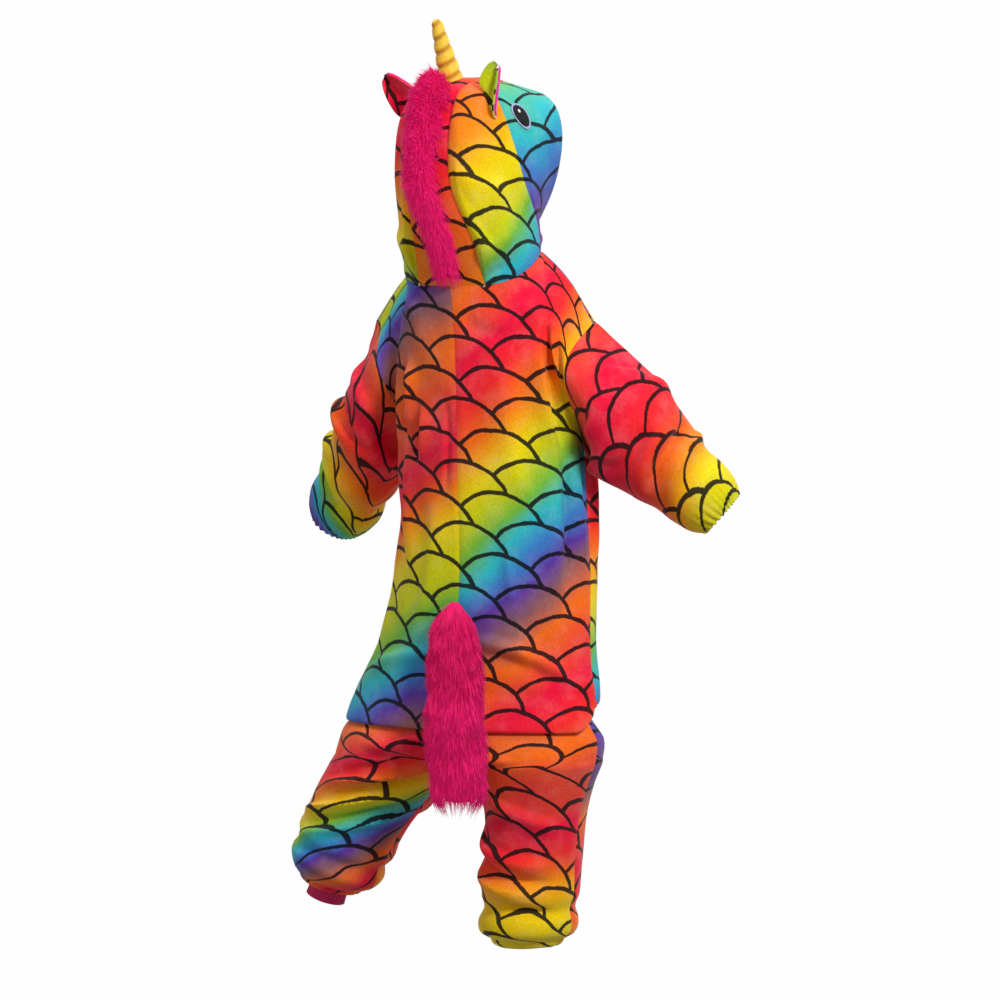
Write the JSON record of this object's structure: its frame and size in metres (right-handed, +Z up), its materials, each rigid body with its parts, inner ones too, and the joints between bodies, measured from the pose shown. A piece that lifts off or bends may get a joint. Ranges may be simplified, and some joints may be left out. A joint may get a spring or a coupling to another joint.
{
  "type": "kigurumi onesie",
  "caption": "Child's hooded one-piece costume of printed plush in mid step, with a long pile mane and tail, a small horn, ears and a zip across the seat.",
  "frame": {"origin": "middle of the base of the neck at shoulder height, where the wearer holds the garment up", "axes": "+Z up, -Y towards the wearer's front, +X towards the wearer's left"},
  "size_m": [0.6501, 0.2877, 1.2409],
  "materials": {
    "printed_plush": "soft short pile, printed with overlapping scales in rainbow bands",
    "pile": "long pink pile",
    "horn_cloth": "yellow satin cloth with a wound stitch line",
    "ear_lining": "pink plush",
    "rib": "pink rib knit",
    "felt_black": "black felt",
    "felt_pale": "pale lavender felt",
    "felt_white": "white felt",
    "zip_tape": "woven zip tape",
    "zip_plastic": "moulded plastic"
  },
  "bodies": {
    "garment": {"back_left": "printed_plush", "front_left": "printed_plush", "leg_left_back": "printed_plush", "back_right": "printed_plush", "front_right": "printed_plush", "leg_right_back": "printed_plush", "sleeve_left": "printed_plush", "sleeve_right": "printed_plush", "hood_band_left": "printed_plush", "hood_side_left": "printed_plush", "hood_band_right": "printed_plush", "hood_side_right": "printed_plush", "hood_centre_strip": "printed_plush", "eye_left": "felt_black", "eye_left_rim": "felt_pale", "eye_left_glint": "felt_white", "eye_right": "felt_black", "eye_right_rim": "felt_pale", "eye_right_glint": "felt_white", "ear_left": "printed_plush", "ear_left_inner": "ear_lining", "ear_right": "printed_plush", "ear_right_inner": "ear_lining", "horn": "horn_cloth", "mane": "pile", "tail": "pile", "leg_cuff_left": "rib", "leg_cuff_right": "rib", "seat_zip_tape": "zip_tape", "front_zip_tape": "zip_tape", "front_zip_slider": "zip_plastic", "seat_zip_slider": "zip_plastic"},
    "front_zip_pull": {"front_zip_pull": "zip_plastic"},
    "seat_zip_pull": {"seat_zip_pull": "zip_plastic"}
  },
  "joints": [
    {"name": "front_pull_hinge", "type": "hinge", "parent": "garment", "child": "front_zip_pull", "pos_m": [-0.00366, -0.09876, -0.01612], "axis": [-0.9803, 0.1315, 0.1477], "range_deg": [0, 150]},
    {"name": "seat_pull_hinge", "type": "hinge", "parent": "garment", "child": "seat_zip_pull", "pos_m": [0.17701, 0.00569, -0.60039], "axis": [0.1544, -0.9862, 0.0597], "range_deg": [0, 100]}
  ]
}
